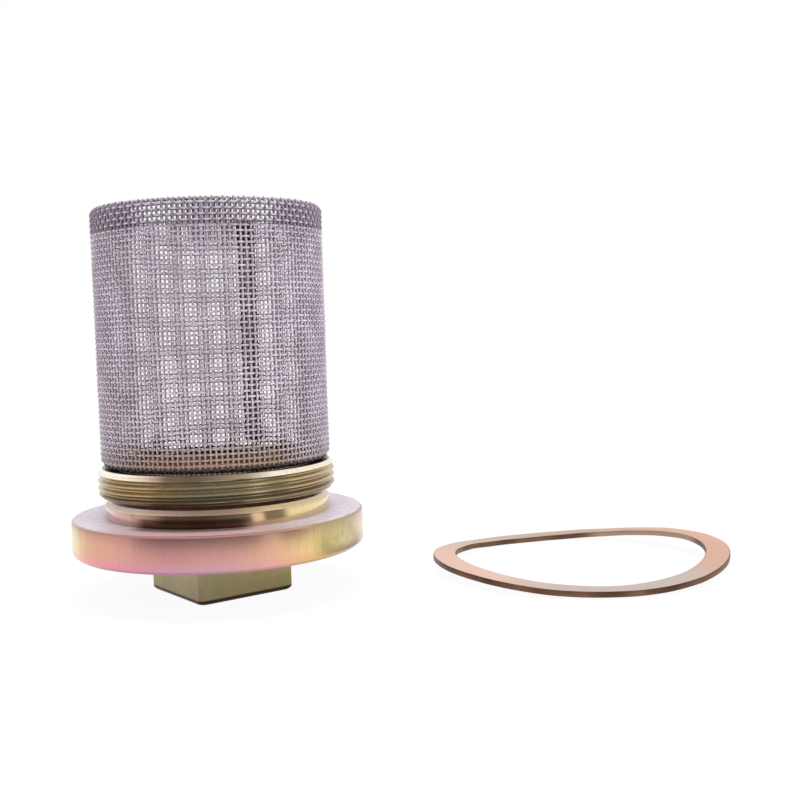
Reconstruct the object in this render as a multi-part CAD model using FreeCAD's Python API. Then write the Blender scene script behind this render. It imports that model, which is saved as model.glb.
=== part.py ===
import FreeCAD, Part
import math
import os

V = FreeCAD.Vector
UP = V(0, 0, 1)
ORIGIN = V(0, 0, 0)

# Driving dimensions in millimetres and degrees
# The plug stands on its square boss: z = 0 is the boss's foot and the axis of the thread is Z

# Square drive boss
drive_across_flats = 27.0
drive_height = 11.7
drive_turn = 41.5
drive_corner_round = 1.6
drive_foot_chamfer = 0.7

# Flange that presses the washer
flange_diameter = 74.0
flange_thickness = 9.0
flange_lower_chamfer = 0.9
flange_upper_chamfer = 0.5

# Plain land that centres the flange in the port
land_diameter = 57.0
land_height = 4.2
land_chamfer = 1.0

# Relief groove where the thread runs out
relief_diameter = 55.2
relief_height = 1.3

# Thread, its major diameter and length
thread_diameter = 60.0
thread_length = 7.1
thread_foot_chamfer = 0.8
rim_chamfer = 1.2

# Shallow recess turned into the plug's top
recess_diameter = 51.6
recess_depth = 4.0

# Screen of woven wire, as thick as two wires that cross
wire_diameter = 0.5
screen_foot_diameter = 58.0
screen_top_diameter = 58.0
screen_height = 64.2
foot_curl_radius = 2.6
foot_curl_facets = 2
foot_lip_clearance = 0.3

# Hem folded over at the screen's top
hem_height = 6.2
hem_step = 0.25
hem_fold_facets = 2

# Lap seam up the screen's back
seam_width = 5.0
seam_azimuth = 79.5
seam_step = 0.25

# Weave of the wall: upright and level ridges with an open cell between them
weave_columns = 24
weave_rows = 5
ridge_width = 2.4
weave_margin = 1.2

# Copper washer, slightly bent, that lies beside the plug
washer_clearance = 3.6
washer_width = 6.2
washer_thickness = 1.5
washer_bend = 1.48
washer_bend_azimuth = 11.3
washer_lean = 0.7
washer_lean_azimuth = 354.6
washer_gap = 20.9
washer_azimuth = 8.8
washer_route_points = 12

# Heights worked out from the dimensions
flange_foot = drive_height
flange_top = flange_foot + flange_thickness
land_top = flange_top + land_height
thread_foot = land_top + relief_height
rim_top = thread_foot + thread_length
weave = 2 * wire_diameter
screen_top = rim_top + screen_height
curl_top = rim_top + foot_curl_radius


def ring_profile(points):
    """Face in the XZ plane from (radius, height) points, to be turned about Z."""
    corners = [V(r, 0, z) for r, z in points]
    return Part.Face(Part.makePolygon(corners + corners[:1]))


def turned(face):
    return face.revolve(ORIGIN, UP, 360)


def square_drive():
    """Milled square with rounded corners and a chamfered foot, run a little into the flange."""
    root = drive_height + flange_thickness / 2
    half = drive_across_flats / 2
    block = Part.makeBox(drive_across_flats, drive_across_flats, root, V(-half, -half, 0))
    uprights = [e for e in block.Edges if abs(e.tangentAt(e.FirstParameter).z) > 0.99]
    block = block.makeFillet(drive_corner_round, uprights)
    foot = [f for f in block.Faces if f.normalAt(0, 0).z < -0.99][0]
    block = block.makeChamfer(drive_foot_chamfer, foot.Edges)
    block.rotate(ORIGIN, UP, drive_turn)
    return block


def turned_plug():
    """Flange, land, relief groove and threaded section as one turned profile."""
    flange = flange_diameter / 2
    land = land_diameter / 2
    relief = relief_diameter / 2
    thread = thread_diameter / 2
    recess = recess_diameter / 2
    floor = rim_top - recess_depth
    profile = ring_profile([
        (0, flange_foot),
        (flange - flange_lower_chamfer, flange_foot),
        (flange, flange_foot + flange_lower_chamfer),
        (flange, flange_top - flange_upper_chamfer),
        (flange - flange_upper_chamfer, flange_top),
        (land, flange_top),
        (land, land_top - land_chamfer),
        (land - land_chamfer, land_top),
        (relief, land_top),
        (relief, thread_foot),
        (thread - thread_foot_chamfer, thread_foot),
        (thread, thread_foot + thread_foot_chamfer),
        (thread, rim_top - rim_chamfer),
        (thread - rim_chamfer, rim_top),
        (recess, rim_top),
        (recess, floor),
        (0, floor),
    ])
    return turned(profile)


def plug_body():
    return turned_plug().fuse(square_drive()).removeSplitter()


def screen_radius(height):
    """Outer radius of the single wall at a height, between its foot's and its top's."""
    share = (height - curl_top) / (screen_top - curl_top)
    return (screen_foot_diameter + share * (screen_top_diameter - screen_foot_diameter)) / 2


def arc_points(centre, radius, start, end, facets):
    """Points of an arc about a centre, in the (radius, height) plane, from one angle to another."""
    points = []
    for step in range(facets + 1):
        turn = math.radians(start + (end - start) * step / facets)
        points.append((centre[0] + radius * math.cos(turn), centre[1] + radius * math.sin(turn)))
    return points


def screen_wall():
    """One sheet turned about the axis: lip, curl, wall and doubled hem."""
    lip = recess_diameter / 2 + foot_lip_clearance
    curl_centre = (screen_foot_diameter / 2 - foot_curl_radius, curl_top)
    hem_foot = screen_top - hem_height
    hem_outer = screen_radius(screen_top) + hem_step
    hem_inner = screen_radius(screen_top) - 2 * weave
    fold = (hem_outer - hem_inner) / 2
    fold_centre = (hem_inner + fold, screen_top - fold)
    wall = screen_radius(hem_foot)
    profile = [(lip, rim_top)]
    profile += arc_points(curl_centre, foot_curl_radius, -90, 0, foot_curl_facets)
    profile += [(wall, hem_foot), (hem_outer, hem_foot + hem_step)]
    profile += arc_points(fold_centre, fold, 0, 180, hem_fold_facets)
    profile += [(hem_inner, hem_foot + weave), (wall - weave, hem_foot)]
    profile += arc_points(curl_centre, foot_curl_radius - weave, 0, -90, foot_curl_facets - 1)
    profile += [(lip, rim_top + weave)]
    return turned(ring_profile(profile))


def lap_seam():
    """Strip where the sheet's two ends overlap, curved like the wall and proud of it."""
    foot = curl_top
    top = screen_top - hem_height / 2
    profile = ring_profile([
        (screen_radius(foot) - weave / 2, foot),
        (screen_radius(foot) + seam_step, foot),
        (screen_radius(top) + seam_step, top),
        (screen_radius(top) - weave / 2, top),
    ])
    width = math.degrees(seam_width / (screen_foot_diameter / 2))
    strip = profile.revolve(ORIGIN, UP, width)
    strip.rotate(ORIGIN, UP, seam_azimuth - width / 2)
    return strip


def weave_cells():
    """Open cells between the ridges, in rows and columns, with a whole column left for the seam."""
    foot = curl_top + weave_margin
    top = screen_top - hem_height - weave_margin
    row_pitch = (top - foot + ridge_width) / weave_rows
    column_pitch = 360 / weave_columns
    width = math.pi * screen_foot_diameter / weave_columns - ridge_width
    height = row_pitch - ridge_width
    cells = []
    for row in range(weave_rows):
        low = foot + row * row_pitch
        wall = screen_radius(low)
        for column in range(1, weave_columns):
            cell = Part.makeBox(4 * weave, width, height, V(wall - 3 * weave, -width / 2, low))
            cell.rotate(ORIGIN, UP, seam_azimuth + column * column_pitch)
            cells.append(cell)
    return cells


def strainer_screen():
    return screen_wall().cut(weave_cells()).fuse(lap_seam()).removeSplitter()


def washer_height(azimuth):
    """Height of the bent ring's lower face about its middle: two high places, the one more than the other."""
    bend = washer_bend * math.cos(2 * math.radians(azimuth - washer_bend_azimuth))
    return bend + washer_lean * math.cos(math.radians(azimuth - washer_lean_azimuth))


def washer_edge(radius, lift):
    points = []
    for step in range(washer_route_points):
        azimuth = 360 * step / washer_route_points
        turn = math.radians(azimuth)
        place = V(radius * math.cos(turn), radius * math.sin(turn), washer_height(azimuth) + lift)
        points.append(place)
    curve = Part.BSplineCurve()
    curve.interpolate(Points=points, PeriodicFlag=True)
    return curve.toShape()


def sealing_washer():
    """Flat copper ring, bent like a saddle, with square edges."""
    inner = thread_diameter / 2 + washer_clearance
    outer = inner + washer_width
    low_outer = washer_edge(outer, 0)
    low_inner = washer_edge(inner, 0)
    top_outer = washer_edge(outer, washer_thickness)
    top_inner = washer_edge(inner, washer_thickness)
    pairs = [(low_outer, low_inner), (low_inner, top_inner), (top_inner, top_outer), (top_outer, low_outer)]
    faces = [Part.makeRuledSurface(first, second) for first, second in pairs]
    shell = Part.makeShell(faces)
    shell.sewShape()
    ring = Part.makeSolid(Part.Shell(shell.Faces))
    if ring.Volume < 0:
        ring.reverse()
    reach = flange_diameter / 2 + washer_gap + outer
    turn = math.radians(washer_azimuth)
    rise = -min(washer_height(azimuth) for azimuth in range(360))
    ring.translate(V(reach * math.cos(turn), reach * math.sin(turn), rise))
    return ring


os.makedirs("parts", exist_ok=True)
pieces = {
    "plug_body": plug_body(),
    "strainer_screen": strainer_screen(),
    "sealing_washer": sealing_washer(),
}
for name, shape in pieces.items():
    shape.exportStep("parts/" + name + ".step")
    box = shape.BoundBox
    print(name, "solids", len(shape.Solids), "valid", shape.isValid(), "volume", round(shape.Volume, 1),
          "z", round(box.ZMin, 3), round(box.ZMax, 3), "x", round(box.XMin, 2), round(box.XMax, 2))
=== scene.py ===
import math

import bmesh
import bpy
from mathutils import Matrix, Vector, noise

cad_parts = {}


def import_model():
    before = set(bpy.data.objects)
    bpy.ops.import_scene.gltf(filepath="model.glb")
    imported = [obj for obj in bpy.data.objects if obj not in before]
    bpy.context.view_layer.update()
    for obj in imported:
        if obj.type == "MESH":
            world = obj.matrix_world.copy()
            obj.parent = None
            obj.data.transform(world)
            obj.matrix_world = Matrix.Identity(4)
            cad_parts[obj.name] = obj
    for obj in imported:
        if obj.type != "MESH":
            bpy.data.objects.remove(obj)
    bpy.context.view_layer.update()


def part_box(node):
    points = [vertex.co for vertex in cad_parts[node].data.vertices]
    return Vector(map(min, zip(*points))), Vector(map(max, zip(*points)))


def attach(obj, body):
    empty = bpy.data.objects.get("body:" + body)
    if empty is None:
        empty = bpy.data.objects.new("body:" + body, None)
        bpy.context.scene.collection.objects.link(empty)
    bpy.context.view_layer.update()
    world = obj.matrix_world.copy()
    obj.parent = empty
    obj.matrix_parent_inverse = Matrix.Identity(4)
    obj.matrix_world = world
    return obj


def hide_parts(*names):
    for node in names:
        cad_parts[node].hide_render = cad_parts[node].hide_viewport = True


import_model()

# Everything is in metres, in the CAD model's frame: the boss's foot is z = 0 and the thread's axis is Z
MM = 0.001
TURN = 2 * math.pi

PLUG_LOW, PLUG_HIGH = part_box("plug_body")
SCREEN_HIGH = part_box("strainer_screen")[1]
WASHER_LOW, WASHER_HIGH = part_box("sealing_washer")

# Turned plug
COLUMNS = 240
FLANGE_RADIUS = (PLUG_HIGH.x - PLUG_LOW.x) / 2
FLANGE_FOOT = 11.7 * MM
FLANGE_TOP = 20.7 * MM
FLANGE_LOWER_CHAMFER = 0.9 * MM
FLANGE_UPPER_CHAMFER = 0.5 * MM
BOSS_HALF_WIDTH = 13.5 * MM
BOSS_CORNER_ROUND = 1.6 * MM
BOSS_FOOT_CHAMFER = 0.7 * MM
BOSS_TURN = math.radians(36.5)
LAND_RADIUS = 28.5 * MM
LAND_TOP = 24.9 * MM
LAND_CHAMFER = 1.0 * MM
RELIEF_RADIUS = 27.6 * MM
THREAD_FOOT = 26.2 * MM
THREAD_RADIUS = 30.0 * MM
THREAD_PITCH = 1.78 * MM
THREAD_DEPTH = 0.9 * MM
THREAD_FOOT_CHAMFER = 0.8 * MM
THREAD_CREST_SHARE = 0.22
THREAD_ROOT_SHARE = 0.2
THREAD_STEPS = 12
THREAD_START = 29.15 * MM
RIM_TOP = PLUG_HIGH.z
RIM_CHAMFER = 1.2 * MM
RIM_PLANE_RADIUS = THREAD_RADIUS - RIM_CHAMFER
CHAMFER_FOOT = RIM_TOP - RIM_CHAMFER
RECESS_RADIUS = 25.8 * MM
RECESS_DEPTH = 4.0 * MM
EDGE_ROUND = 0.22 * MM

# Woven screen
WIRE_RADIUS = 0.28 * MM
WIRE_WAVE = 0.24 * MM
WIRE_SIDES = 6
WARP_WIRES = 140
WEFT_ROWS = 54
SCREEN_TOP = SCREEN_HIGH.z + 0.2 * MM
FOOT_WALL_RADIUS = 28.6 * MM
TOP_WALL_RADIUS = 28.65 * MM
LIP_RADIUS = 26.0 * MM
CURL_CENTRE_RADIUS = 26.5 * MM
CURL_TOP = 35.9 * MM
CURL_RADIUS = FOOT_WALL_RADIUS - CURL_CENTRE_RADIUS
HEM_DEPTH = 6.2 * MM
HEM_FOLD_RADIUS = 0.55 * MM
HEM_SINK = 0.25 * MM
HEM_FOOT = SCREEN_TOP - HEM_DEPTH
HEM_RADIUS = TOP_WALL_RADIUS - HEM_FOLD_RADIUS
SEAM_AZIMUTH = math.radians(76.2)
SEAM_WIRES = 4
SEAM_STEP = 0.62 * MM
LAP_ROWS = 40
FILM_WIDTH = 4.9 * MM
FILM_THICKNESS = 0.3 * MM
HEM_FILM_INSET = 1.5 * MM
HEM_FILM_WIDTH = 5.8 * MM
HEM_FILM_MARGIN = 1.2 * MM
FILM_STEPS, FILM_COLUMNS = 60, 8
ARC_STEPS = 8
UNEVENNESS = 0.35 * MM
WEAVE_SEED = 3.0

# Washer beside the plug, a little nearer to it and smaller than in the CAD model
WASHER_CENTRE = ((WASHER_LOW + WASHER_HIGH) / 2).to_2d() - Vector((1.1 * MM, 0))
WASHER_OUTER = (WASHER_HIGH.x - WASHER_LOW.x) / 2 - 0.3 * MM
WASHER_WIDTH = 6.2 * MM
WASHER_THICKNESS = 1.5 * MM
WASHER_EDGE_ROUND = 0.3 * MM
WASHER_BEND = 1.48 * MM
WASHER_BEND_AZIMUTH = math.radians(11.3)
WASHER_LEAN = 0.7 * MM
WASHER_LEAN_AZIMUTH = math.radians(354.6)
WASHER_COLUMNS = 240

# Studio. Angles are from the front, in radians: it is unlit where the camera stands, with one lit strip there
FLOOR_FRONT = 162 * MM
FLOOR_REACH = 4.0
FLOOR_GAP = 0.05 * MM
UNLIT_START = (-1.2, -0.75)
UNLIT_END = (1.42, 1.22)
STRIP_START = (0.64, 0.72)
STRIP_END = (0.92, 0.84)

# Camera at the photograph's place: its height and distance, looking a little down and slightly rolled
CAMERA_PLACE = Vector((0.03903, -0.27868, 0.06539))
CAMERA_DOWN = math.radians(3.61)
CAMERA_ROLL = math.radians(1.86)
CAMERA_LENS = 48.89
CAMERA_SHIFT = 0.0418
CAMERA_CLIP = (0.02, 20)

# Patterns of the finishes: scales of noise, per metre
CLOUD_SCALE = 90.0
MOTTLE_SCALE = 700.0
TINT_SCALE = 150.0
STREAK_STRETCH = (190, 70, 300)
TURNING_LINES = 9000
WIRE_PATCH_SCALE = 160.0
WIRE_GRAIN_SCALE = 3500.0
SOLDER_SCALE = 500.0
COPPER_PATCH_SCALE = 110.0
COPPER_GRAIN_SCALE = 1800.0
UNEVEN_SCALE = 110.0

# Colours of the plating, 0 to 255 as on screen. A list goes round the plug, with its front at 0.5.
# Several are darker there, because tones that the bright coat mirrors in front are painted into them
RIM_HUES = [
    (0.0, (206, 176, 140)),
    (0.20, (204, 192, 156)),
    (0.31, (220, 208, 152)),
    (0.36, (200, 157, 124)),
    (0.41, (200, 146, 134)),
    (0.47, (188, 136, 132)),
    (0.54, (198, 150, 138)),
    (0.575, (208, 164, 134)),
    (0.61, (222, 188, 136)),
    (0.635, (192, 178, 116)),
    (0.68, (196, 186, 142)),
    (0.74, (206, 180, 160)),
    (1.0, (206, 176, 140)),
]
RIM_FOOT_HUES = [
    (0.0, (204, 160, 140)),
    (0.22, (196, 176, 170)),
    (0.32, (226, 158, 160)),
    (0.38, (216, 130, 150)),
    (0.45, (192, 134, 158)),
    (0.52, (182, 144, 160)),
    (0.57, (210, 150, 148)),
    (0.62, (206, 164, 110)),
    (0.68, (160, 140, 122)),
    (0.76, (200, 160, 150)),
    (1.0, (204, 160, 140)),
]
# The land's plating hue, with a painted dark reflection in front
LAND_HUES_AND_REFLECTION = [
    (0.0, (196, 168, 140)),
    (0.34, (200, 170, 160)),
    (0.42, (160, 124, 108)),
    (0.50, (128, 92, 76)),
    (0.56, (190, 160, 132)),
    (0.60, (204, 180, 132)),
    (0.68, (214, 196, 148)),
    (1.0, (196, 168, 140)),
]
# The land's upper chamfer: painted highlight at the sides, painted dark reflection in front
LAND_EDGE_HIGHLIGHT_AND_REFLECTION = [
    (0.0, (236, 216, 196)),
    (0.40, (240, 222, 204)),
    (0.45, (206, 176, 164)),
    (0.49, (168, 142, 128)),
    (0.54, (174, 148, 128)),
    (0.59, (222, 200, 156)),
    (1.0, (236, 216, 196)),
]
THREAD_HUES = [
    (0.0, (182, 160, 124)),
    (0.30, (196, 180, 150)),
    (0.37, (168, 148, 112)),
    (0.44, (180, 162, 128)),
    (0.50, (164, 158, 134)),
    (0.57, (182, 172, 142)),
    (0.66, (176, 158, 124)),
    (0.74, (190, 168, 134)),
    (1.0, (182, 160, 124)),
]
# The thread's end chamfer: painted highlight at the sides, painted dark reflection in front
CHAMFER_HIGHLIGHT_AND_REFLECTION = [
    (0.0, (240, 226, 200)),
    (0.385, (255, 246, 228)),
    (0.42, (236, 218, 194)),
    (0.455, (120, 103, 86)),
    (0.49, (106, 90, 74)),
    (0.52, (130, 114, 96)),
    (0.56, (172, 156, 132)),
    (0.595, (252, 240, 216)),
    (1.0, (240, 226, 200)),
]
RIM_UPPER_EDGE = (150, 112, 118)
RIM_SPECKS = (138, 118, 128)
LAND_SHADE = (60, 38, 28)
THREAD_GROOVE_DIRT_AND_SHADE = (110, 96, 76)
THREAD_SHADE = (74, 66, 54)
THREAD_STAIN = (170, 118, 60)
FACE_PINK = (204, 170, 168)
FACE_SHADE = (96, 72, 68)
BOSS_LILAC = (150, 138, 148)
BOSS_SHADE = (104, 92, 64)
BOSS_FOOT = (46, 32, 25)
RELIEF_SHADE = (40, 28, 22)
LIP_GAP_SHADE = (30, 20, 16)
STREAK_BROWN = (120, 92, 80)

# Colours by a pattern: the share is the noise's value
FACE_HUES = [(0.3, (196, 180, 194)), (0.5, (208, 196, 208)), (0.7, (220, 210, 216))]
BOSS_HUES = [(0.3, (172, 160, 128)), (0.5, (194, 178, 140)), (0.7, (204, 168, 116))]
BOSS_TINTS = [(0.38, (176, 140, 138)), (0.5, (190, 172, 128)), (0.62, (150, 168, 118))]
RECESS_HUES = [(0.35, (170, 136, 100)), (0.65, (206, 168, 124))]
WIRE_HUES = [(0.3, (188, 175, 187)), (0.5, (202, 190, 203)), (0.7, (217, 208, 220))]
SOLDER_HUES = [(0.35, (38, 28, 28)), (0.65, (66, 54, 56))]
STAMPED_AND_SHADED_WALL_HUES = [(0.35, (76, 52, 40)), (0.65, (116, 84, 64))]

# Colours of the wires and of the copper; the copper's list goes round the ring from its side at the plug
UPRIGHT_HEM = (154, 142, 154)
ROW_HEM = (200, 190, 204)
WIRE_HOLLOW_SHADE = (120, 108, 116)
HEM_EDGE_SHADE = (84, 70, 76)
WIRE_FOOT_SHADE = (158, 142, 138)
SEAM_SOLDER_AND_SHADE = (92, 78, 82)
RECESS_MIRRORED = (156, 128, 100)
BACK_FOOT_DIRT_AND_SHADE = (66, 48, 40)
CURL_SHADE = (44, 32, 28)
HEM_SOLDER_SHADE = (30, 20, 20)
COPPER_HUES = [
    (0.0, (222, 184, 164)),
    (0.12, (222, 186, 168)),
    (0.20, (192, 174, 163)),
    (0.34, (192, 176, 167)),
    (0.42, (210, 163, 141)),
    (0.60, (210, 167, 143)),
    (0.72, (186, 160, 142)),
    (0.86, (194, 170, 152)),
    (1.0, (222, 184, 164)),
]
FAR_WALL_LIGHT = (158, 132, 114)


def linear(colour):
    """A colour written as 0 to 255 on screen, as the linear colour that nodes take."""
    parts = [value / 255 for value in colour]
    parts = [v / 12.92 if v <= 0.04045 else ((v + 0.055) / 1.055) ** 2.4 for v in parts]
    return (*parts, 1.0)


class Value:
    """One output of a node, with arithmetic: a formula on it adds the Math nodes that it needs."""

    def __init__(self, tree, node, output):
        self.tree = tree
        self.node = node
        self.socket = node.outputs[output]

    def out(self, name):
        return Value(self.tree, self.node, name)

    def math(self, operation, *numbers):
        return self.tree.add("ShaderNodeMath", {"operation": operation}, dict(enumerate(numbers)))

    def __add__(self, other):
        return self.math("ADD", self, other)

    def __sub__(self, other):
        return self.math("SUBTRACT", self, other)

    def __mul__(self, other):
        return self.math("MULTIPLY", self, other)

    def __truediv__(self, other):
        return self.math("DIVIDE", self, other)

    def __radd__(self, other):
        return self.math("ADD", other, self)

    def __rsub__(self, other):
        return self.math("SUBTRACT", other, self)

    def __rmul__(self, other):
        return self.math("MULTIPLY", other, self)

    def __neg__(self):
        return self.math("MULTIPLY", self, -1)

    def __abs__(self):
        return self.math("ABSOLUTE", self)

    def __pow__(self, other):
        return self.math("POWER", self, other)

    def sin(self):
        return self.math("SINE", self)

    def cos(self):
        return self.math("COSINE", self)

    def atan2(self, other):
        return self.math("ARCTAN2", self, other)

    def between(self, low, high):
        """0 at low, 1 at high and eased from one to the other; low may be the larger."""
        if low > high:
            return 1 - self.between(high, low)
        sockets = {"Value": self, "From Min": low, "From Max": high}
        return self.tree.add("ShaderNodeMapRange", {"interpolation_type": "SMOOTHSTEP"}, sockets)


class Tree:
    """A node tree that nodes are added to with one method."""

    def __init__(self, nodes):
        self.nodes = nodes

    def add(self, kind, settings=None, sockets=None, output=0):
        """Adds a node: first its settings, then the values or links of its sockets."""
        node = self.nodes.nodes.new(kind)
        for name, setting in (settings or {}).items():
            if name == "stops":
                set_stops(node.color_ramp, setting)
            else:
                setattr(node, name, setting)
        for name, value in (sockets or {}).items():
            if isinstance(value, Value):
                self.nodes.links.new(value.socket, node.inputs[name])
            else:
                node.inputs[name].default_value = value
        return Value(self, node, output) if node.outputs else node

    def mix(self, share, under, over):
        """Lays one colour over another: the sockets 6 and 7 and the output 2 are a Mix node's colours."""
        over = linear(over) if isinstance(over, tuple) else over
        return self.add("ShaderNodeMix", {"data_type": "RGBA"}, {0: share, 6: under, 7: over}, output=2)

    def ramp(self, share, stops):
        """A colour by a value, through stops given as (share, colour)."""
        return self.add("ShaderNodeValToRGB", {"stops": stops}, {0: share})

    def noise(self, place, scale, detail=2.0, roughness=0.5):
        sockets = {"Vector": place, "Scale": scale, "Detail": detail, "Roughness": roughness}
        return self.add("ShaderNodeTexNoise", None, sockets, "Fac")

    def joined(self, x, y, z):
        return self.add("ShaderNodeCombineXYZ", None, {0: x, 1: y, 2: z})

    def parted(self, vector):
        """A vector's X, with its Y and Z at hand through out()."""
        return self.add("ShaderNodeSeparateXYZ", None, {0: vector})


def set_stops(ramp, stops):
    """Places a colour ramp's stops, given as (share, colour)."""
    while len(ramp.elements) < len(stops):
        ramp.elements.new(1.0)
    for element, (share, colour) in zip(ramp.elements, stops):
        element.position = share
        element.color = linear(colour)


class Finish(Tree):
    """A material with the readings of place that its patterns use."""

    def __init__(self, name):
        self.material = bpy.data.materials.new(name)
        self.material.use_nodes = True
        super().__init__(self.material.node_tree)
        self.nodes.nodes.clear()
        self.place = self.add("ShaderNodeTexCoord", output="Object")
        parts = self.parted(self.place)
        self.x, self.y, self.height = parts, parts.out("Y"), parts.out("Z")
        self.radius = (self.x * self.x + self.y * self.y) ** 0.5

    def azimuth_from_front(self):
        """Angle round the axis in radians: 0 at the front, positive to the right, seam at the back."""
        return self.x.atan2(-self.y)

    def bump(self, height, strength, distance):
        sockets = {"Height": height, "Strength": strength, "Distance": distance}
        return self.add("ShaderNodeBump", None, sockets)

    def surface(self, **sockets):
        names = {name.replace("_", " "): value for name, value in sockets.items()}
        shader = self.add("ShaderNodeBsdfPrincipled", None, names)
        self.add("ShaderNodeOutputMaterial", None, {"Surface": shader})
        return self.material


def rim_colour(f, azimuth, sway, mottle):
    """The flange's rim: magenta and lilac along its lower edge, dull at its upper edge, specks at right."""
    lower = f.height.between(FLANGE_FOOT + 3.6 * MM, FLANGE_FOOT + 0.9 * MM)
    upper = f.height.between(FLANGE_TOP - 3.5 * MM, FLANGE_TOP - 0.6 * MM)
    specks = mottle.between(0.52, 0.66) * azimuth.between(0.625, 0.66) * azimuth.between(0.75, 0.71)
    colour = f.mix(lower * 0.8, f.ramp(sway, RIM_HUES), f.ramp(sway, RIM_FOOT_HUES))
    colour = f.mix(upper * 0.35, colour, RIM_UPPER_EDGE)
    return f.mix(specks * 0.35, colour, RIM_SPECKS)


def thread_colour(f, azimuth, sway, mottle):
    """The thread: dirt and painted shade in its grooves, painted shade at its foot, brown stains at the left,
    a painted highlight and reflection on the chamfer at its end.
    """
    # Grooves of the thread darkened: dirt and painted shade
    grooves = f.radius.between(THREAD_RADIUS - 0.5 * MM, THREAD_RADIUS - THREAD_DEPTH)
    grooves = grooves * f.height.between(THREAD_FOOT, THREAD_FOOT + 0.4 * MM)
    # Painted shade at the thread's foot
    foot = f.height.between(THREAD_FOOT + 2.9 * MM, THREAD_FOOT + 1.2 * MM)
    stains = mottle.between(0.48, 0.66) * azimuth.between(0.5, 0.45)
    chamfer = f.height.between(CHAMFER_FOOT - 0.1 * MM, CHAMFER_FOOT + 0.05 * MM)
    colour = f.mix(grooves * 0.35, f.ramp(sway, THREAD_HUES), THREAD_GROOVE_DIRT_AND_SHADE)
    colour = f.mix(foot * 0.5, colour, THREAD_SHADE)
    colour = f.mix(stains * 0.35, colour, THREAD_STAIN)
    return f.mix(chamfer, colour, f.ramp(azimuth, CHAMFER_HIGHLIGHT_AND_REFLECTION))


def boss_colour(f, azimuth, cloud):
    """The square boss: olive and gold, lilac under the flange, with a painted dark reflection on one face and
    painted brown shade at its foot.
    """
    under_flange = f.height.between(FLANGE_FOOT - 5 * MM, FLANGE_FOOT - 1 * MM)
    # Painted dark reflection on one face of the boss
    dark_face = azimuth.between(0.468, 0.474)
    # Painted brown shade at the boss's foot
    foot = f.height.between(1.5 * MM, 0.9 * MM)
    colour = f.mix(under_flange, f.ramp(cloud, BOSS_HUES), BOSS_LILAC)
    colour = f.mix(dark_face * 0.58, colour, BOSS_SHADE)
    colour = f.mix(0.3, colour, f.ramp(f.noise(f.place, TINT_SCALE), BOSS_TINTS))
    return f.mix(foot * 0.95, colour, BOSS_FOOT)


def face_colour(f, mottle, front):
    """The flange's upper face: pale lilac, pink in front, and a painted brown reflection next to the land, in
    front.
    """
    colour = f.mix(f.y.between(-20 * MM, -32 * MM), f.ramp(mottle, FACE_HUES), FACE_PINK)
    return f.mix(f.radius.between(33 * MM, 30.5 * MM) * front * 0.8, colour, FACE_SHADE)


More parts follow.
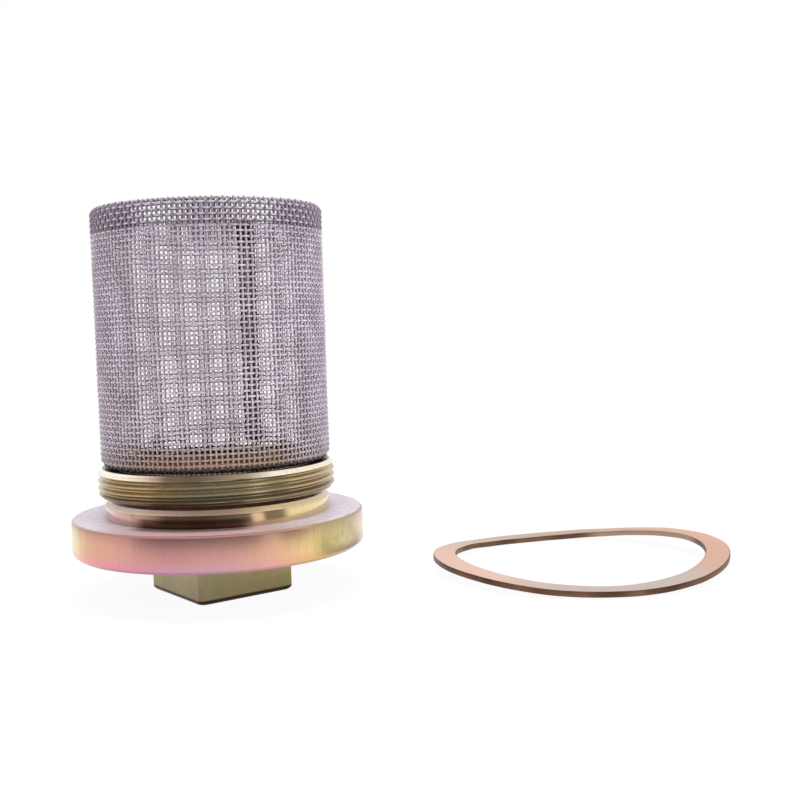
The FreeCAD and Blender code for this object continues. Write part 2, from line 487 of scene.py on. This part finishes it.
def plated_steel():
    """Turned steel with a yellow passivated zinc coat: its hue wanders from gold to pink, lilac and green."""
    f = Finish("yellow_zinc_plate")
    z = f.height
    azimuth = f.azimuth_from_front() / TURN + 0.5
    cloud = f.noise(f.place, CLOUD_SCALE, 3.0)
    mottle = f.noise(f.place, MOTTLE_SCALE, 3.0, 0.6)
    round_scale, up_scale, out_scale = STREAK_STRETCH
    streaks = f.noise(f.joined(azimuth * round_scale, z * up_scale, f.radius * out_scale), 1.0, 4.0, 0.65)
    sway = azimuth + (cloud - 0.5) * 0.02 + (streaks - 0.5) * 0.06
    front = azimuth.between(0.39, 0.42) * azimuth.between(0.575, 0.545)

    above_flange = z.between(FLANGE_TOP + 0.01 * MM, FLANGE_TOP + 0.04 * MM)
    on_face = z.between(FLANGE_TOP - 0.05 * MM, FLANGE_TOP - 0.02 * MM)
    on_face = on_face * z.between(FLANGE_TOP + 0.04 * MM, FLANGE_TOP + 0.01 * MM)
    on_rim = f.radius.between(FLANGE_RADIUS - 1.2 * MM, FLANGE_RADIUS - 0.5 * MM)
    on_boss = z.between(FLANGE_FOOT + 0.2 * MM, FLANGE_FOOT - 0.2 * MM)
    # Painted reflection: the land is darker at its foot in front, where the coat mirrors the unlit side
    land_foot = z.between(LAND_TOP - 1.6 * MM, LAND_TOP - 2.4 * MM) * front
    in_relief = z.between(LAND_TOP - 0.1 * MM, LAND_TOP + 0.2 * MM)
    edge_foot = LAND_TOP - LAND_CHAMFER
    land_edge = z.between(edge_foot - 0.1 * MM, edge_foot + 0.05 * MM) * (1 - in_relief)
    on_thread = z.between(THREAD_FOOT - 0.2 * MM, THREAD_FOOT)
    in_recess = f.radius.between(RIM_PLANE_RADIUS + 0.2 * MM, RIM_PLANE_RADIUS - 0.2 * MM) * on_thread
    # Painted shadow in the gap under the screen's lip
    under_lip = in_recess * z.between(RIM_TOP - 0.8 * MM, RIM_TOP - 0.3 * MM)

    land = f.mix(land_foot * 0.85, f.ramp(sway, LAND_HUES_AND_REFLECTION), LAND_SHADE)
    colour = f.mix(on_boss, face_colour(f, mottle, front), boss_colour(f, azimuth, cloud))
    colour = f.mix(on_rim * (1 - on_face), colour, rim_colour(f, azimuth, sway, mottle))
    colour = f.mix(above_flange, colour, land)
    # Painted shade in the relief groove under the thread
    colour = f.mix(in_relief, colour, RELIEF_SHADE)
    colour = f.mix(on_thread, colour, thread_colour(f, azimuth, sway, mottle))
    colour = f.mix(land_edge, colour, f.ramp(azimuth, LAND_EDGE_HIGHLIGHT_AND_REFLECTION))
    colour = f.mix(in_recess, colour, f.ramp(cloud, RECESS_HUES))
    colour = f.mix(under_lip, colour, LIP_GAP_SHADE)
    colour = f.mix(streaks.between(0.55, 0.75) * 0.22, colour, STREAK_BROWN)

    lines = f.noise(f.joined(z * TURNING_LINES, f.radius * TURNING_LINES, azimuth * 3), 1.0)
    rough = 0.1 + cloud * 0.06 + on_rim * (1 - above_flange) * 0.16 + on_boss * 0.14 + on_thread * 0.12
    rough = rough + land_edge * 0.3 + on_face * 0.35
    metal = 1 - 0.85 * land_edge - 0.6 * on_face
    return f.surface(Base_Color=colour, Metallic=metal, Roughness=rough, Normal=f.bump(lines, 0.2, 0.02 * MM))


def steel_wire(name, hem_hue):
    """Drawn steel wire, grey with a violet cast, with painted shade in the weave's hollows, at the seam and
    at the foot.
    """
    f = Finish(name)
    z = f.height
    patches = f.noise(f.place, WIRE_PATCH_SCALE)
    # Painted shade where the wires dip into the weave's hollows
    sunk = abs(f.radius - FOOT_WALL_RADIUS).between(0.42 * MM, 0.16 * MM)
    in_hem = z.between(HEM_FOOT, HEM_FOOT + 0.5 * MM)
    # Painted shadow along the hem's lower edge
    hem_edge_shade = z.between(HEM_FOOT - 0.7 * MM, HEM_FOOT - 0.3 * MM)
    hem_edge_shade = hem_edge_shade * z.between(HEM_FOOT + 0.6 * MM, HEM_FOOT + 0.2 * MM)
    # Painted shade on the wires near the plug
    foot = z.between(RIM_TOP + 6 * MM, RIM_TOP + 2.2 * MM)
    # Beside the seam: solder grey and painted shade
    seam = abs(f.y.atan2(f.x) - SEAM_AZIMUTH).between(math.radians(5.8), math.radians(4.6))
    mirrored = z.between(RIM_TOP + 8 * MM, RIM_TOP + 6 * MM) * abs(f.x).between(24 * MM, 16 * MM)
    # The back wall's foot, seen from inside: dirt and painted shade
    back_foot_dirt_and_shade = z.between(RIM_TOP + 4.2 * MM, RIM_TOP + 3.2 * MM) * f.y.between(0, 8 * MM)
    # Painted shade in the curl at the screen's foot
    curl = z.between(RIM_TOP + 1.9 * MM, RIM_TOP + 0.9 * MM)
    colour = f.mix(sunk * 0.35, f.ramp(patches, WIRE_HUES), WIRE_HOLLOW_SHADE)
    colour = f.mix(in_hem, colour, hem_hue)
    colour = f.mix(hem_edge_shade * 0.5, colour, HEM_EDGE_SHADE)
    colour = f.mix(foot * 0.6, colour, WIRE_FOOT_SHADE)
    colour = f.mix(seam * 0.6, colour, SEAM_SOLDER_AND_SHADE)
    colour = f.mix(mirrored * 0.5, colour, RECESS_MIRRORED)
    colour = f.mix(back_foot_dirt_and_shade * 0.9, colour, BACK_FOOT_DIRT_AND_SHADE)
    colour = f.mix(curl * 0.9, colour, CURL_SHADE)
    normal = f.bump(f.noise(f.place, WIRE_GRAIN_SCALE), 0.3, 0.03 * MM)
    return f.surface(Base_Color=colour, Metallic=0.6, Roughness=0.34 + patches * 0.2, Normal=normal)


def seam_solder():
    """Dull film of solder along the screen's lap seam, darkest in the hem, where shade is painted into it."""
    f = Finish("seam_solder")
    patches = f.noise(f.place, SOLDER_SCALE, 3.0)
    # Painted shade: the solder is darker where the lap lies in the hem
    in_hem = f.height.between(HEM_FOOT - 0.2 * MM, HEM_FOOT + 0.2 * MM)
    colour = f.mix(in_hem * 0.8, f.ramp(patches, SOLDER_HUES), HEM_SOLDER_SHADE)
    normal = f.bump(patches, 0.5, 0.15 * MM)
    return f.surface(Base_Color=colour, Metallic=0.6, Roughness=0.5, Normal=normal)


def copper():
    """Soft annealed copper, pale and matt; its edge walls are brown from stamping and painted shade, and part
    of the far inner wall is lighter as painted light.
    """
    f = Finish("annealed_copper")
    across, along = f.x - WASHER_CENTRE.x, f.y - WASHER_CENTRE.y
    ring = (across * across + along * along) ** 0.5
    azimuth = along.atan2(across) / TURN + 0.5
    patches = f.noise(f.place, COPPER_PATCH_SCALE, 3.0)
    inner = WASHER_OUTER - WASHER_WIDTH
    inner_wall = ring.between(inner + 0.3 * MM, inner + 0.1 * MM)
    outer_wall = ring.between(WASHER_OUTER - 0.3 * MM, WASHER_OUTER - 0.1 * MM)
    # Painted light: part of the far inner wall lighter, as if lit
    far_wall_lit = inner_wall * azimuth.between(0.5, 0.54) * azimuth.between(0.715, 0.685)
    pale = f.ramp(azimuth + (patches - 0.5) * 0.06, COPPER_HUES)
    # Edge walls: brown from stamping, with painted shade
    walls_stamped_and_shaded = f.mix(far_wall_lit, f.ramp(patches, STAMPED_AND_SHADED_WALL_HUES), FAR_WALL_LIGHT)
    colour = f.mix(outer_wall + inner_wall, pale, walls_stamped_and_shaded)
    normal = f.bump(f.noise(f.place, COPPER_GRAIN_SCALE, 3.0), 0.25, 0.05 * MM)
    return f.surface(Base_Color=colour, Metallic=0.75, Roughness=0.38 + patches * 0.15, Normal=normal)


def mesh_piece(name, points, faces, material):
    """A closed mesh with merged doubles, faces outwards and smooth shading up to a crease."""
    mesh = bpy.data.meshes.new(name)
    mesh.from_pydata(points, [], faces)
    work = bmesh.new()
    work.from_mesh(mesh)
    bmesh.ops.remove_doubles(work, verts=work.verts, dist=0.002 * MM)
    bmesh.ops.dissolve_degenerate(work, edges=work.edges, dist=0.001 * MM)
    bmesh.ops.recalc_face_normals(work, faces=work.faces)
    work.to_mesh(mesh)
    work.free()
    mesh.shade_smooth()
    mesh.set_sharp_from_angle(angle=math.radians(35))
    mesh.materials.append(material)
    piece = bpy.data.objects.new(name, mesh)
    bpy.context.scene.collection.objects.link(piece)
    return piece


def grid_faces(rows, columns):
    """Quads between rows of points that each hold the first column once more at their end."""
    across = columns + 1
    faces = []
    for row in range(rows - 1):
        for column in range(columns):
            first = row * across + column
            faces.append((first, first + 1, first + 1 + across, first + across))
    return faces


def rounded(corners, size, steps=3):
    """A (radius, height) line with each inner corner replaced by a small arc."""
    line = [corners[0]]
    for before, corner, after in zip(corners, corners[1:], corners[2:]):
        corner, before, after = Vector(corner), Vector(before), Vector(after)
        reach_in, reach_out = (before - corner).length, (after - corner).length
        cut = min(size, reach_in / 2.2, reach_out / 2.2)
        start = corner + (before - corner).normalized() * cut
        end = corner + (after - corner).normalized() * cut
        for step in range(steps + 1):
            share = step / steps
            line.append(tuple(start.lerp(corner, share).lerp(corner.lerp(end, share), share)))
    line.append(corners[-1])
    return line


def square_radius(azimuth, half):
    """Distance from the axis to the boss's rounded square outline in one direction."""
    turn = (azimuth - BOSS_TURN + TURN / 8) % (TURN / 4) - TURN / 8
    flat = half / math.cos(turn)
    centre = half - BOSS_CORNER_ROUND
    if flat * abs(math.sin(turn)) <= centre:
        return flat
    along = centre * (math.cos(turn) + abs(math.sin(turn)))
    aside = 2 * centre ** 2 - along ** 2
    return along + math.sqrt(BOSS_CORNER_ROUND ** 2 - aside)


def thread_radius(height, azimuth):
    """Radius of the threaded section: a V thread cut off by the chamfers at its two ends."""
    phase = (height - THREAD_START) / THREAD_PITCH - azimuth / TURN
    off_crest = abs((phase + 0.5) % 1 - 0.5)
    slope = 0.5 - THREAD_CREST_SHARE / 2 - THREAD_ROOT_SHARE / 2
    sunk = min(max((off_crest - THREAD_CREST_SHARE / 2) / slope, 0), 1)
    sunk = sunk * sunk * (3 - 2 * sunk) * 0.4 + sunk * 0.6
    foot = THREAD_RADIUS - THREAD_FOOT_CHAMFER + height - THREAD_FOOT
    top = RIM_PLANE_RADIUS + RIM_TOP - height
    return min(THREAD_RADIUS - THREAD_DEPTH * sunk, foot, top)


def plug():
    """The one turned and milled piece: every row of points runs once round the axis."""
    boss = rounded([
        (BOSS_HALF_WIDTH - 4 * BOSS_FOOT_CHAMFER, 0),
        (BOSS_HALF_WIDTH - BOSS_FOOT_CHAMFER, 0),
        (BOSS_HALF_WIDTH, BOSS_FOOT_CHAMFER),
        (BOSS_HALF_WIDTH, FLANGE_FOOT),
        (BOSS_HALF_WIDTH + 2 * EDGE_ROUND, FLANGE_FOOT),
    ], EDGE_ROUND)
    flange = rounded([
        (FLANGE_RADIUS - 12 * FLANGE_LOWER_CHAMFER, FLANGE_FOOT),
        (FLANGE_RADIUS - FLANGE_LOWER_CHAMFER, FLANGE_FOOT),
        (FLANGE_RADIUS, FLANGE_FOOT + FLANGE_LOWER_CHAMFER),
        (FLANGE_RADIUS, FLANGE_TOP - FLANGE_UPPER_CHAMFER),
        (FLANGE_RADIUS - FLANGE_UPPER_CHAMFER, FLANGE_TOP),
        (LAND_RADIUS, FLANGE_TOP),
    ], EDGE_ROUND)
    flange += rounded([
        (LAND_RADIUS, FLANGE_TOP),
        (LAND_RADIUS, LAND_TOP - LAND_CHAMFER),
        (LAND_RADIUS - LAND_CHAMFER, LAND_TOP),
        (RELIEF_RADIUS, LAND_TOP),
        (RELIEF_RADIUS, THREAD_FOOT),
        (RELIEF_RADIUS + EDGE_ROUND, THREAD_FOOT),
    ], EDGE_ROUND)
    recess = rounded([
        (RIM_PLANE_RADIUS - 3 * EDGE_ROUND, RIM_TOP),
        (RECESS_RADIUS, RIM_TOP),
        (RECESS_RADIUS, RIM_TOP - RECESS_DEPTH),
        (RECESS_RADIUS - 4 * EDGE_ROUND, RIM_TOP - RECESS_DEPTH),
    ], 2 * EDGE_ROUND)
    turns = math.ceil((RIM_TOP - THREAD_FOOT) / THREAD_PITCH) + 1
    points = []

    def add_row(place):
        for column in range(COLUMNS + 1):
            azimuth = TURN * column / COLUMNS
            radius, height = place(azimuth)
            points.append((radius * math.cos(azimuth), radius * math.sin(azimuth), height))

    add_row(lambda azimuth: (0, 0))
    for half, height in boss:
        add_row(lambda azimuth: (square_radius(azimuth, half), height))
    for radius, height in flange:
        add_row(lambda azimuth: (radius, height))
    for step in range(-THREAD_STEPS, turns * THREAD_STEPS + 1):
        def on_helix(azimuth):
            height = THREAD_FOOT + THREAD_PITCH * (step / THREAD_STEPS + azimuth / TURN)
            height = min(max(height, THREAD_FOOT), RIM_TOP)
            return thread_radius(height, azimuth), height
        add_row(on_helix)
    for radius, height in recess:
        add_row(lambda azimuth: (radius, height))
    add_row(lambda azimuth: (0, RIM_TOP - RECESS_DEPTH))
    rows = len(points) // (COLUMNS + 1)
    return mesh_piece("plug", points, grid_faces(rows, COLUMNS), plated_steel())


def screen_line(inset=0.0):
    """Side view of the sheet's middle: lip, curl, wall, fold and the hem's inner layer."""
    line = [(LIP_RADIUS, CURL_TOP - CURL_RADIUS)]
    for step in range(ARC_STEPS + 1):
        turn = TURN / 4 * (step / ARC_STEPS - 1)
        line.append((CURL_CENTRE_RADIUS + (CURL_RADIUS - inset) * math.cos(turn),
                     CURL_TOP + (CURL_RADIUS - inset) * math.sin(turn)))
    fold_radius = HEM_RADIUS - inset
    fold_height = SCREEN_TOP - HEM_FOLD_RADIUS - WIRE_WAVE - WIRE_RADIUS
    for step in range(ARC_STEPS + 1):
        turn = TURN / 2 * step / ARC_STEPS
        line.append((fold_radius + HEM_FOLD_RADIUS * math.cos(turn),
                     fold_height + HEM_FOLD_RADIUS * math.sin(turn)))
    line.append((fold_radius - HEM_FOLD_RADIUS, HEM_FOOT))
    return line


def line_object(name, line):
    """A (radius, height) line as a mesh of edges in the XZ plane."""
    mesh = bpy.data.meshes.new(name)
    points = [(radius, 0, height) for radius, height in line]
    mesh.from_pydata(points, [(first, first + 1) for first in range(len(points) - 1)], [])
    piece = bpy.data.objects.new(name, mesh)
    bpy.context.scene.collection.objects.link(piece)
    return piece


class Grower(Tree):
    """A Geometry Nodes tree with named inputs, applied to an object by apply()."""

    def __init__(self, name, inputs):
        super().__init__(bpy.data.node_groups.new(name, "GeometryNodeTree"))
        face = self.nodes.interface
        face.new_socket("Geometry", in_out="INPUT", socket_type="NodeSocketGeometry")
        face.new_socket("Geometry", in_out="OUTPUT", socket_type="NodeSocketGeometry")
        self.identifiers = {}
        for title, kind in inputs.items():
            socket = face.new_socket(title, in_out="INPUT", socket_type="NodeSocket" + kind)
            self.identifiers[title] = socket.identifier
        self.given = self.add("NodeGroupInput")

    def end(self, geometry):
        whole = self.add("GeometryNodeRealizeInstances", None, {"Geometry": geometry})
        sockets = {"Geometry": whole, "Material": self.given.out("Material")}
        coated = self.add("GeometryNodeSetMaterial", None, sockets)
        self.add("NodeGroupOutput", None, {"Geometry": coated})

    def apply(self, piece, **values):
        """Runs the tree on the piece and leaves its result as the piece's plain mesh."""
        modifier = piece.modifiers.new("grow", "NODES")
        modifier.node_group = self.nodes
        for title, value in values.items():
            modifier[self.identifiers[title.replace("_", " ")]] = value
        bpy.context.view_layer.update()
        evaluated = piece.evaluated_get(bpy.context.evaluated_depsgraph_get())
        mesh = bpy.data.meshes.new_from_object(evaluated)
        piece.modifiers.remove(modifier)
        piece.data = mesh
        return piece


WEAVE_INPUTS = {
    "Wires": "Int",
    "Rows": "Int",
    "First Wire": "Int",
    "Wire Count": "Int",
    "Wire Radius": "Float",
    "Wave": "Float",
    "Unevenness": "Float",
    "Seed": "Float",
    "Material": "Material",
}


def wires_from(tree, curves):
    """Turns curves into round wires."""
    sockets = {"Resolution": WIRE_SIDES, "Radius": tree.given.out("Wire Radius")}
    profile = tree.add("GeometryNodeCurvePrimitiveCircle", None, sockets)
    sockets = {"Curve": curves, "Profile Curve": profile, "Fill Caps": True}
    return tree.add("GeometryNodeCurveToMesh", None, sockets)


def copied(tree, curve, amount):
    """Copies of a curve, numbered by the output Duplicate Index."""
    sockets = {"Geometry": curve, "Amount": amount}
    return tree.add("GeometryNodeDuplicateElements", {"domain": "SPLINE"}, sockets)


def placed(tree, curves, radius, height, azimuth):
    """Sets each point by radius, height and azimuth, a little unevenly."""
    place = tree.joined(radius * azimuth.cos(), radius * azimuth.sin(), height)
    sockets = {"Vector": place, "W": tree.given.out("Seed"), "Scale": UNEVEN_SCALE}
    uneven = tree.add("ShaderNodeTexNoise", {"noise_dimensions": "4D"}, sockets, "Color")
    centred = tree.add("ShaderNodeVectorMath", {"operation": "SUBTRACT"}, {0: uneven, 1: (0.5, 0.5, 0.5)})
    sockets = {0: centred, "Scale": tree.given.out("Unevenness")}
    shift = tree.add("ShaderNodeVectorMath", {"operation": "SCALE"}, sockets)
    return tree.add("GeometryNodeSetPosition", None, {"Geometry": curves, "Position": place, "Offset": shift})


def warp_tree():
    """Wires that run up the screen, over and under the rows."""
    tree = Grower("warp", WEAVE_INPUTS)
    given = tree.given
    line = tree.add("GeometryNodeMeshToCurve", None, {"Mesh": given.out("Geometry")})
    points = given.out("Rows") * 2 + 1
    wire = tree.add("GeometryNodeResampleCurve", {"mode": "COUNT"}, {"Curve": line, "Count": points})
    copies = copied(tree, wire, given.out("Wire Count"))
    number = copies.out("Duplicate Index") + given.out("First Wire")
    point = tree.add("GeometryNodeSplineParameter", output="Index")
    place = tree.parted(tree.add("GeometryNodeInputPosition"))
    along = tree.parted(tree.add("GeometryNodeInputTangent"))
    wave = given.out("Wave") * ((point / 2 + number) * math.pi).sin()
    radius = place + wave * along.out("Z")
    height = place.out("Z") - wave * along
    inner = place.between(HEM_RADIUS, HEM_RADIUS - HEM_FOLD_RADIUS)
    inner = inner * place.out("Z").between(HEM_FOOT - MM, HEM_FOOT)
    azimuth = (number + 0.5 * inner) * TURN / given.out("Wires")
    tree.end(wires_from(tree, placed(tree, copies, radius, height, azimuth)))
    return tree


def weft_tree():
    """Rows of wire round the screen, over and under the upright wires."""
    tree = Grower("weft", WEAVE_INPUTS)
    given = tree.given
    line = tree.add("GeometryNodeMeshToCurve", None, {"Mesh": given.out("Geometry")})
    sockets = {"Resolution": given.out("Wires") * 2, "Radius": 1.0}
    ring = tree.add("GeometryNodeCurvePrimitiveCircle", None, sockets)
    copies = copied(tree, ring, given.out("Rows"))
    number = copies.out("Duplicate Index")
    point = tree.add("GeometryNodeSplineParameter", output="Index")
    share = (number + 0.5) / given.out("Rows")
    sample = tree.add("GeometryNodeSampleCurve", {"mode": "FACTOR"}, {"Curves": line, "Factor": share})
    place = tree.parted(sample.out("Position"))
    along = tree.parted(sample.out("Tangent"))
    wave = given.out("Wave") * ((point / 2 + number) * math.pi).cos()
    sunk = HEM_SINK * place.out("Z").between(HEM_FOOT, HEM_FOOT + MM)
    radius = place - wave * along.out("Z") - sunk
    height = place.out("Z") + wave * along
    azimuth = point * (TURN / 2) / given.out("Wires")
    tree.end(wires_from(tree, placed(tree, copies, radius, height, azimuth)))
    return tree


def screen():
    """The woven sheet as its upright wires, its rows and the lap seam with its film of solder."""
    upright_wire = steel_wire("upright_steel_wire", UPRIGHT_HEM)
    row_wire = steel_wire("row_steel_wire", ROW_HEM)
    warp, weft = warp_tree(), weft_tree()
    values = {"Wires": WARP_WIRES, "Rows": WEFT_ROWS, "Wire_Radius": WIRE_RADIUS, "Wave": WIRE_WAVE,
              "Unevenness": UNEVENNESS, "Seed": WEAVE_SEED, "Material": upright_wire}
    whole_line = line_object("screen_warp", screen_line())
    upright = warp.apply(whole_line, First_Wire=0, Wire_Count=WARP_WIRES, **values)
    rows = weft.apply(line_object("screen_weft", screen_line()), **{**values, "Material": row_wire})
    first = round(SEAM_AZIMUTH / TURN * WARP_WIRES - SEAM_WIRES / 2 + 0.5)
    wall = ARC_STEPS + 1
    lap_line = screen_line(SEAM_STEP)[wall:wall + 2]
    lap = warp.apply(line_object("screen_lap", lap_line), First_Wire=first, Wire_Count=SEAM_WIRES,
                     **{**values, "Rows": LAP_ROWS})
    film = seam_film("screen_seam_film", CURL_TOP, HEM_FOOT, 0, FILM_WIDTH)
    hem_film_top = SCREEN_TOP - HEM_FILM_MARGIN
    hem_film = seam_film("screen_hem_film", HEM_FOOT, hem_film_top, HEM_FILM_INSET, HEM_FILM_WIDTH)
    return [upright, rows, lap, film, hem_film]


def seam_film(name, foot, top, inset, width):
    """Thin curved strip of solder along the lap, with uneven sides."""
    steps, columns = FILM_STEPS, FILM_COLUMNS
    half = width / 2 / FOOT_WALL_RADIUS
    points = []
    for side in (0, 1):
        for step in range(steps + 1):
            height = foot + (top - foot) * step / steps
            wall = FOOT_WALL_RADIUS + (TOP_WALL_RADIUS - FOOT_WALL_RADIUS) * step / steps
            radius = wall - inset - 0.75 * WIRE_RADIUS - side * FILM_THICKNESS
            wander = 0.08 * noise.noise(Vector((height * 300, 0, 5)))
            for column in range(columns + 1):
                share = 2 * column / columns - 1
                azimuth = SEAM_AZIMUTH + half * (share + wander)
                points.append((radius * math.cos(azimuth), radius * math.sin(azimuth), height))
    across = columns + 1
    layer = (steps + 1) * across
    faces = []
    for step in range(steps):
        for column in range(columns):
            first = step * across + column
            outer = (first, first + 1, first + 1 + across, first + across)
            faces.append(outer)
            faces.append(tuple(point + layer for point in reversed(outer)))
        for column in (0, columns):
            first = step * across + column
            faces.append((first, first + across, first + across + layer, first + layer))
    for step in (0, steps):
        for column in range(columns):
            first = step * across + column
            faces.append((first, first + 1, first + 1 + layer, first + layer))
    return mesh_piece(name, points, faces, seam_solder())


def washer_bend(azimuth):
    """Height of the bent ring about its middle: two high places, the one more than the other."""
    bend = WASHER_BEND * math.cos(2 * (azimuth - WASHER_BEND_AZIMUTH))
    return bend + WASHER_LEAN * math.cos(azimuth - WASHER_LEAN_AZIMUTH)


def washer():
    """Stamped copper ring with soft edges, bent like a saddle and a little dented."""
    half_width, half_thickness = WASHER_WIDTH / 2, WASHER_THICKNESS / 2
    corners = [(0, -1), (1, -1), (1, 1), (-1, 1), (-1, -1), (0, -1)]
    corners = [(across * half_width, up * half_thickness) for across, up in corners]
    section = rounded(corners, WASHER_EDGE_ROUND)
    middle = WASHER_OUTER - half_width
    rise = half_thickness - min(washer_bend(math.radians(azimuth)) for azimuth in range(360))
    points = []
    for across, up in section:
        for column in range(WASHER_COLUMNS + 1):
            azimuth = TURN * column / WASHER_COLUMNS
            ring = Vector((math.cos(azimuth), math.sin(azimuth), 0))
            dent = 0.12 * MM * noise.noise(ring * 4.0)
            lean = 0.1 * MM * across / half_width * noise.noise(ring * 2.5 + Vector((7, 0, 0)))
            height = max(up + rise + washer_bend(azimuth) + dent + lean, 0)
            place = ring * (middle + across)
            points.append((place.x + WASHER_CENTRE.x, place.y + WASHER_CENTRE.y, height))
    return mesh_piece("washer", points, grid_faces(len(section), WASHER_COLUMNS), copper())


def studio_shade(azimuth):
    """How dark the studio is in a direction, as an angle from the front."""
    unlit = azimuth.between(*UNLIT_START) * azimuth.between(*UNLIT_END)
    strip = azimuth.between(*STRIP_START) * azimuth.between(*STRIP_END)
    return unlit * (1 - strip)


def world():
    """White behind the object; soft studio light around it, darker where the camera stands."""
    made = bpy.data.worlds.new("studio")
    made.use_nodes = True
    tree = Tree(made.node_tree)
    made.node_tree.nodes.clear()
    rays = tree.add("ShaderNodeLightPath")
    x = tree.parted(tree.add("ShaderNodeTexCoord", output="Generated"))
    low = x.out("Z").between(0.55, 0.25)
    shade = studio_shade(x.atan2(-x.out("Y"))) * low
    reflected = 1 - 0.9 * shade
    glossy, seen = rays.out("Is Glossy Ray"), rays.out("Is Camera Ray")
    strength = glossy * reflected + (1 - glossy) * 0.75
    strength = seen + (1 - seen) * strength
    light = tree.add("ShaderNodeBackground", None, {"Color": (1, 1, 1, 1), "Strength": strength})
    tree.add("ShaderNodeOutputWorld", None, {"Surface": light})
    bpy.context.scene.world = made


def floor():
    """Pale floor, white to the camera and in the metal, with a faint shadow; its front part is unlit."""
    f = Finish("pale_floor")
    rays = f.add("ShaderNodeLightPath")
    seen, glossy = rays.out("Is Camera Ray"), rays.out("Is Glossy Ray")
    unlit = f.radius.between(FLOOR_FRONT - 4 * MM, FLOOR_FRONT + 4 * MM)
    unlit = unlit * (0.96 - 0.14 * f.radius.between(FLOOR_FRONT + 5 * MM, FLOOR_FRONT + 70 * MM))
    shade = studio_shade(f.azimuth_from_front()) * unlit
    near = f.radius.between(0.6, 0.25)
    lit = f.add("ShaderNodeBsdfDiffuse", None, {"Color": (0.9, 0.9, 0.9, 1)})
    white = f.add("ShaderNodeEmission", None, {"Color": (1, 1, 1, 1), "Strength": 1 - shade * (1 - seen)})
    share = seen * (1 - 0.06 * near) + (1 - seen) * glossy * (0.4 + 0.6 * shade)
    mixed = f.add("ShaderNodeMixShader", None, {0: share, 1: lit, 2: white})
    f.add("ShaderNodeOutputMaterial", None, {"Surface": mixed})
    mesh = bpy.data.meshes.new("floor")
    corners = [(x * FLOOR_REACH, y * FLOOR_REACH, 0) for x, y in ((-1, -1), (1, -1), (1, 1), (-1, 1))]
    mesh.from_pydata(corners, [], [(0, 1, 2, 3)])
    mesh.materials.append(f.material)
    ground = bpy.data.objects.new("floor", mesh)
    bpy.context.scene.collection.objects.link(ground)
    ground.location.z = -FLOOR_GAP


def lamp(name, place, aim, size, energy):
    """A soft square lamp that looks at a point."""
    data = bpy.data.lights.new(name, "AREA")
    data.size = size
    data.energy = energy
    made = bpy.data.objects.new(name, data)
    made.location = place
    made.visible_glossy = False
    made.rotation_euler = (Vector(aim) - Vector(place)).to_track_quat("-Z", "Y").to_euler()
    bpy.context.scene.collection.objects.link(made)


def camera():
    """The camera at the photograph's place and lean."""
    data = bpy.data.cameras.new("camera")
    data.lens = CAMERA_LENS
    data.shift_x = CAMERA_SHIFT
    data.clip_start, data.clip_end = CAMERA_CLIP
    made = bpy.data.objects.new("camera", data)
    bpy.context.scene.collection.objects.link(made)
    forward = Vector((0, math.cos(CAMERA_DOWN), -math.sin(CAMERA_DOWN)))
    level = Vector((1, 0, 0))
    upright = level.cross(forward)
    right = math.cos(CAMERA_ROLL) * level - math.sin(CAMERA_ROLL) * upright
    up = math.sin(CAMERA_ROLL) * level + math.cos(CAMERA_ROLL) * upright
    turn = Matrix((right, up, -forward)).transposed()
    made.matrix_world = Matrix.Translation(CAMERA_PLACE) @ turn.to_4x4()
    bpy.context.scene.camera = made


turned = plug()
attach(turned, "root")
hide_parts("plug_body")

for part in screen():
    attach(part, "root")
    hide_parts("strainer_screen")

ring = washer()
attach(ring, "root")
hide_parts("sealing_washer")

world()
floor()
lamp("top_light", (0.05, -0.15, 0.9), (0.04, 0, 0.03), 0.7, 9.0)
lamp("right_light", (0.8, -0.5, 0.35), (0.03, 0, 0.04), 0.35, 3.0)
camera()
bpy.context.scene.view_settings.view_transform = "Standard"
